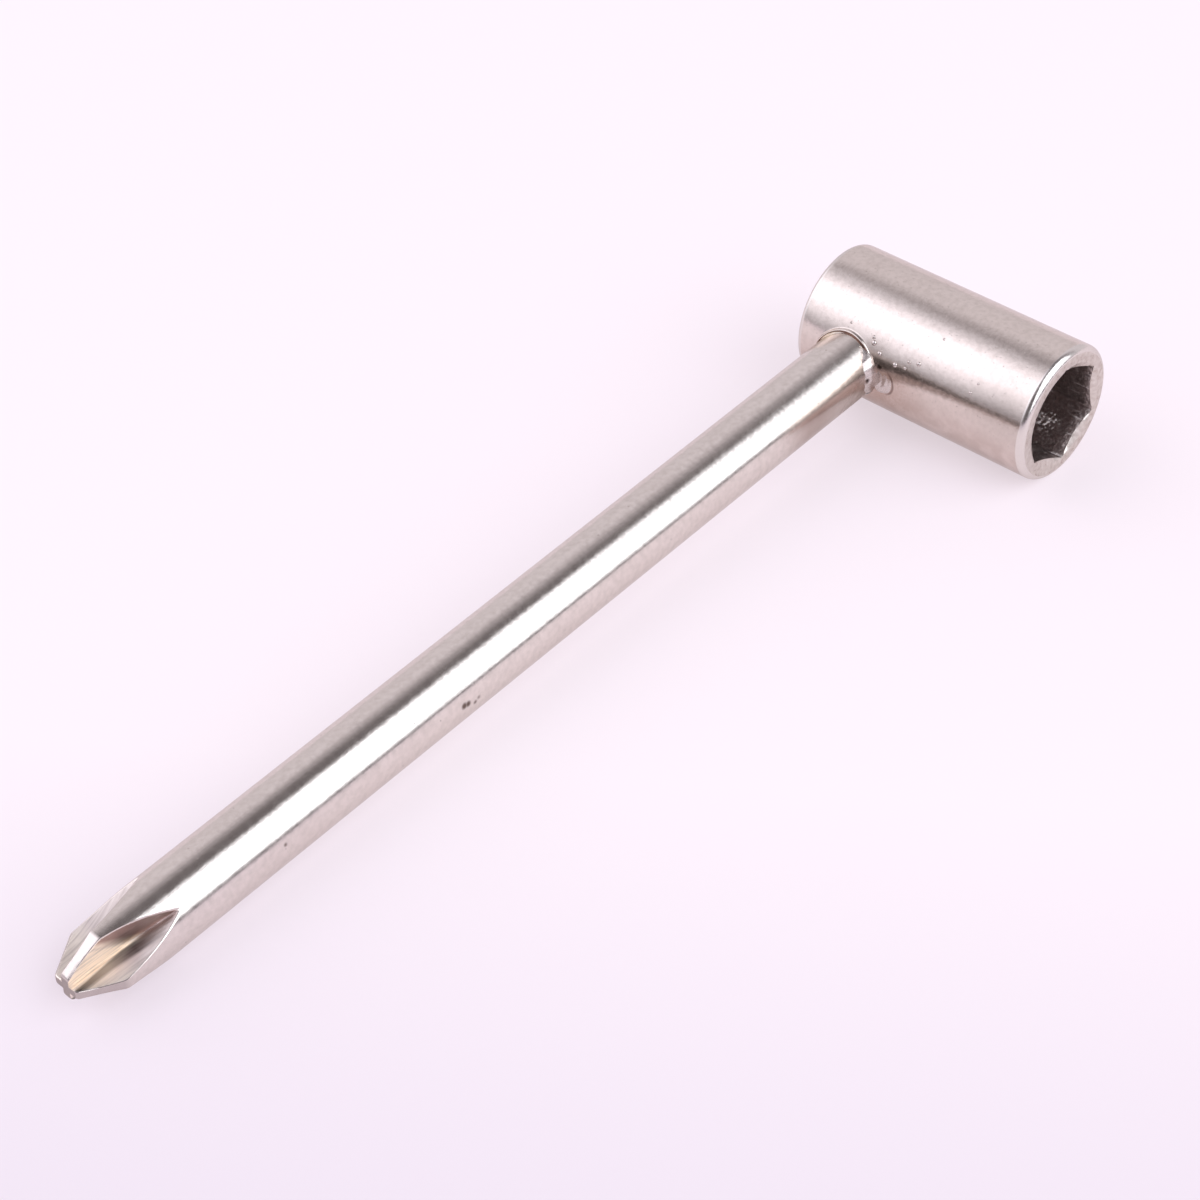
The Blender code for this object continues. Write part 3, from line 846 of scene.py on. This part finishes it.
def barrel_outside(skin, turns):
    """Closed end, and the side as far as the mouth's band, which it gives back as its last row."""
    count = len(turns)
    rows = []
    for step in range(CLOSED_END_ROWS):
        lift = math.pi / 2 * (1 - step / (CLOSED_END_ROWS - 1))
        radius = BARREL_RADIUS - CLOSED_END_RADIUS * (1 - math.cos(lift))
        y = CLOSED_END - CLOSED_END_RADIUS * (1 - math.sin(lift))
        rows.append(skin.row(around_barrel(turns, radius, y)))
    skin.cap(rows[0], (0, CLOSED_END, 0))
    first_patch = len(rows)
    last_patch = first_patch + PATCH_ROWS - 1
    side = list(np.linspace(*PATCH_SPAN, PATCH_ROWS))
    side += list(np.linspace(PATCH_SPAN[1], -MOUTH + MOUTH_BAND, SIDE_ROWS)[1:])
    for y in side:
        rows.append(skin.row(around_barrel(turns, BARREL_RADIUS, float(y))))
    inside = [i for i, turn in enumerate(turns) if PATCH_TURNS[0] <= turn <= PATCH_TURNS[1]]
    left, right = inside[0], inside[-1]
    for index, (row, following) in enumerate(zip(rows, rows[1:])):
        look = BRIGHT_EDGE if index < first_patch - 1 else OUTSIDE
        for here in range(count):
            if first_patch <= index < last_patch and left <= here < right:
                continue
            after = (here + 1) % count
            skin.face((row[here], row[after], following[after], following[here]), look)
    loop = [rows[first_patch][i] for i in range(left, right)]
    loop += [rows[j][right] for j in range(first_patch, last_patch)]
    loop += [rows[last_patch][i] for i in range(right, left, -1)]
    loop += [rows[j][left] for j in range(last_patch, first_patch, -1)]
    joint_patch(skin, loop)
    return rows[-1]


def barrel_inside(turns):
    """Mouth, lead-in, hexagon and pilot hole: radius and depth below the mouth at each column, and look."""
    count = len(turns)
    hexagon = [hex_radius(turn) for turn in turns]
    chamfer = [
        Vector((BARREL_RADIUS, MOUTH_BAND)),
        Vector((BARREL_RADIUS, MOUTH_CHAMFER_DEPTH)),
        Vector((BARREL_RADIUS - MOUTH_CHAMFER_WIDTH, 0.0)),
        Vector((BARREL_RADIUS - 2 * MOUTH_CHAMFER_WIDTH, 0.0)),
    ]
    lead_in = [max(LEAD_IN_RADIUS, radius) for radius in hexagon]
    slope = [max(LEAD_IN_RADIUS - radius, 0.0) / math.tan(LEAD_IN_ANGLE / 2) for radius in hexagon]
    rings = []
    for radius, depth in eased(chamfer, MOUTH_EASES, MOUTH_EASE_STEPS)[1:-1]:
        rings.append(([radius] * count, [depth] * count, BRIGHT_EDGE))
    rings.append(([radius + LEAD_IN_BEVEL[0] for radius in lead_in], [0.0] * count, MOUTH_FACE))
    rings.append((lead_in, [LEAD_IN_BEVEL[1]] * count, MOUTH_FACE))
    for wider, deeper in HEX_BEVEL:
        rings.append(([r + wider for r in hexagon], [d + deeper for d in slope], MOUTH_FACE))
    for depth in HEX_ROWS:
        rings.append((hexagon, [depth] * count, BORE))
    rings.append(([radius - HEX_FOOT for radius in hexagon], [HEX_DEPTH] * count, BORE))
    rings.append(([PILOT_RADIUS] * count, [HEX_DEPTH] * count, BORE))
    rings.append(([PILOT_RADIUS] * count, [PILOT_DEPTH] * count, BORE))
    return rings


def build_barrel(materials):
    """The barrel, with its materials in the order of its looks."""
    skin = Skin()
    turns = barrel_turns()
    last = barrel_outside(skin, turns)
    for radii, depths, look in barrel_inside(turns):
        points = [
            (radius * math.cos(turn), depth - MOUTH, radius * math.sin(turn))
            for turn, radius, depth in zip(turns, radii, depths)
        ]
        row = skin.row(points)
        skin.join(last, row, [look] * len(row))
        last = row
    point_depth = PILOT_DEPTH + PILOT_RADIUS / math.tan(DRILL_POINT_ANGLE / 2)
    skin.cap(last, (0, point_depth - MOUTH, 0), BORE)
    return skin.piece("barrel", materials)


COLLAR_COLUMNS = 127
THIN_COLLAR_COLUMNS = 57
COLLAR_ROWS = 31


def wavering(degrees, waves):
    """A factor that wavers around one."""
    factor = np.ones_like(degrees)
    for size, rate, start in waves:
        factor = factor + size * np.sin(rate * degrees + start)
    return factor


def weld_collar(skin, outline, columns):
    """Weld metal around part of the shank: full where it meets the barrel, steepest at its free end."""
    degrees = np.linspace(outline[0, 0], outline[-1, 0], columns)
    heights = np.interp(degrees, outline[:, 0], outline[:, 1]) * MM * wavering(degrees, HEIGHT_WAVES)
    reaches = np.interp(degrees, outline[:, 0], outline[:, 2]) * MM * wavering(degrees, REACH_WAVES)
    shares = np.sin(np.linspace(0.0, math.pi / 2, COLLAR_ROWS))
    under = SHANK_RADIUS - WELD_ROOT
    rows = []
    for turn, top, reach in zip(np.radians(degrees), heights, reaches):
        face = math.sqrt(BARREL_RADIUS**2 - (SHANK_RADIUS * math.sin(turn)) ** 2)
        out = face - WELD_ROOT + (reach + WELD_ROOT) * shares
        along = np.clip((out - face) / reach, 0.0, 1.0)
        height = top * np.cos(along * math.pi / 2)
        for pit_turn, pit_out, pit_radius, deep in COLLAR_PITS:
            distance = np.hypot((turn - pit_turn) * SHANK_RADIUS, out - pit_out)
            height = height - deep * np.exp(-((distance / pit_radius) ** 2))
        radius = np.maximum(SHANK_RADIUS + height, SHANK_RADIUS - WELD_SUNK)
        upper = [(-x, r * math.cos(turn), r * math.sin(turn)) for x, r in zip(out, radius)]
        lower = [(-x, under * math.cos(turn), under * math.sin(turn)) for x in out]
        rows.append(skin.row(upper + lower[::-1]))
    skin.shell(rows)


BUTTON_COLUMNS = 72
BUTTON_RINGS = (*np.linspace(1.0, 0.94, 4), *np.linspace(0.9, 0.04, 30))  # shares of its radius


def weld_button(skin):
    """The flat round end of the weld on the barrel's side, with rings where it froze."""
    rows = []
    turns = np.linspace(0.0, math.tau, BUTTON_COLUMNS, endpoint=False)
    outline = 1 + BUTTON_THREE_LOBES * np.sin(3 * turns) + BUTTON_FIVE_LOBES * np.cos(5 * turns)
    for share in BUTTON_RINGS:
        reach = BUTTON_RADIUS * share * outline
        y = BUTTON_MIDDLE[0] + reach * np.cos(turns)
        z = BUTTON_MIDDLE[1] + reach * np.sin(turns)
        frozen = np.hypot(y - RIPPLE_MIDDLE[0], z - RIPPLE_MIDDLE[1])
        ripple = RIPPLE_HEIGHT * np.cos(math.tau * frozen / RIPPLE_PITCH)
        higher = np.clip(BUTTON_MEAN - BUTTON_TILT * share * np.sin(turns), BUTTON_LEAST, 1.0)
        height = (BUTTON_HEIGHT * higher + ripple) * (1 - share**BUTTON_RIM) - WELD_SUNK
        rows.append(skin.row(zip(-np.sqrt(BARREL_RADIUS**2 - z**2) - height, y, z)))
    skin.stack(rows)
    skin.cap(rows[-1], (-BARREL_RADIUS - BUTTON_HEIGHT, *BUTTON_MIDDLE))
    skin.cap(rows[0], (-BARREL_RADIUS + WELD_ROOT, *BUTTON_MIDDLE))


DROP_COLUMNS = 16
DROP_RINGS = (-0.4, 0.0, 0.35, 0.6, 0.8, 0.93)  # shares of its height


def spatter_drop(skin, y, lift, radius):
    """One round drop on the barrel's side."""
    outward = Vector((-math.cos(lift), 0, math.sin(lift)))
    sideways = Vector((math.sin(lift), 0, math.cos(lift)))
    foot = BARREL_RADIUS * outward + Vector((0, y, 0))
    turns = [math.tau * step / DROP_COLUMNS for step in range(DROP_COLUMNS)]
    rows = []
    for rise in DROP_RINGS:
        width = radius * math.sqrt(1 - rise**2)
        middle = foot + DROP_HEIGHT * rise * radius * outward
        ring = [middle + width * (math.cos(t) * sideways + math.sin(t) * Vector((0, 1, 0))) for t in turns]
        rows.append(skin.row(ring))
    skin.stack(rows)
    skin.cap(rows[0], foot - DROP_ROOT * radius * outward)
    skin.cap(rows[-1], foot + DROP_HEIGHT * radius * outward)


def build_weld(material):
    """All the weld metal that can be seen, as one piece."""
    skin = Skin()
    weld_collar(skin, COLLAR, COLLAR_COLUMNS)
    weld_collar(skin, THIN_COLLAR, THIN_COLLAR_COLUMNS)
    weld_button(skin)
    for y, lift, radius in SPATTER:
        spatter_drop(skin, y, lift, radius)
    return skin.piece("weld", [material], WELD_SHARP_ANGLE)


def build_stage():
    """The floor."""
    bpy.ops.mesh.primitive_plane_add(size=FLOOR_SIZE)
    floor = bpy.context.object
    floor.name = "floor"
    floor.data.materials.append(pale_floor())


BACKDROP = rgb(0.81, 0.765, 0.825)
BACKDROP_AXIS = (0.707, 0.707, -0.61)
BACKDROP_EDGE = (-0.20, 0.22)
ROOM = rgb(0.165, 0.15, 0.16)

# Each edge of a lit panel: a direction towards the light, and how far along it the light starts and is full
RIGHT_COLOUR = rgb(1.81, 1.90, 2.06)
RIGHT_EDGES = (
    ((-0.657, -0.714, 0.239), 0.015, 0.09),
    ((0.0, -0.982, -0.187), 0.025, 0.10),
    ((0.819, -0.574, 0.0), -0.10, 0.05),
    ((0.0, 0.0, 1.0), 0.10, 0.19),
)
LEFT_COLOUR = rgb(1.68, 1.66, 1.85)
LEFT_EDGES = (
    ((-1.0, 0.0, 0.0), -0.25, 0.38),
    ((0.0, 1.0, 0.0), -0.10, 0.30),
    ((0.0, 0.0, 1.0), -0.10, 0.65),
)
FRONT_COLOUR = rgb(1.28, 1.32, 1.42)
FRONT_EDGES = (
    ((0.0, -1.0, 0.0), 0.45, 0.70),
    ((0.0, 0.0, 1.0), 0.30, 0.50),
    ((-1.0, 0.0, 0.0), -0.40, -0.15),
    ((1.0, 0.0, 0.0), -0.50, -0.25),
)


def build_light():
    """A dark room with a lit backdrop, a big soft panel on each side and a small one in front."""
    world = bpy.data.worlds.new("studio")
    world.use_nodes = True
    bpy.context.scene.world = world
    graph = Graph(world.node_tree)
    direction = graph.add("ShaderNodeTexCoord", {}, out="Generated")
    share = graph.ramp(graph.dot(direction, BACKDROP_AXIS), *BACKDROP_EDGE)
    colour = graph.mix(share, ROOM, BACKDROP)
    panels = ((RIGHT_COLOUR, RIGHT_EDGES), (LEFT_COLOUR, LEFT_EDGES), (FRONT_COLOUR, FRONT_EDGES))
    for panel, edges in panels:
        share = 1.0
        for towards, start, full in edges:
            within = graph.ramp(graph.dot(direction, towards), start, full)
            share = graph.times(within, share)
        colour = graph.mix(share, colour, panel, "ADD")
    shader = graph.add("ShaderNodeBackground", {"Color": colour, "Strength": 1.0})
    graph.add("ShaderNodeOutputWorld", {"Surface": shader})


# Fitted to the photo's outlines
CAMERA_PLACE = Vector((-0.115336, -0.106903, 0.148422))
CAMERA_TARGET = Vector((0.006399, 0.007004, 0.0))
CAMERA_ROLL = math.radians(-2.169)
CAMERA_LENS = 84.36
SENSOR_WIDTH = 36.0
CLIP_START = 5 * MM


def build_camera():
    """The photo's point of view."""
    data = bpy.data.cameras.new("camera")
    data.lens = CAMERA_LENS
    data.sensor_width = SENSOR_WIDTH
    data.clip_start = CLIP_START
    camera = bpy.data.objects.new("camera", data)
    aim = (CAMERA_TARGET - CAMERA_PLACE).to_track_quat("-Z", "Y").to_matrix().to_4x4()
    camera.matrix_world = Matrix.Translation(CAMERA_PLACE) @ aim @ Matrix.Rotation(CAMERA_ROLL, 4, "Z")
    bpy.context.scene.collection.objects.link(camera)
    bpy.context.scene.camera = camera


def main():
    """Build everything."""
    shank = build_shank(shank_nickel(), ground_flute(), worn_end())
    barrel = build_barrel([barrel_nickel(), mouth_nickel(), bore_steel(), mouth_edge(), burnt_seam()])
    weld = build_weld(weld_metal())
    for piece, node, slot in (
        (shank, "driver_shank", "shank_nickel"),
        (barrel, "socket_head", "barrel_nickel"),
        (weld, "weld_bead", "weld_metal"),
    ):
        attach(piece, "root")
        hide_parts(node)
    build_stage()
    build_light()
    build_camera()
    bpy.context.scene.view_settings.view_transform = "Standard"


main()
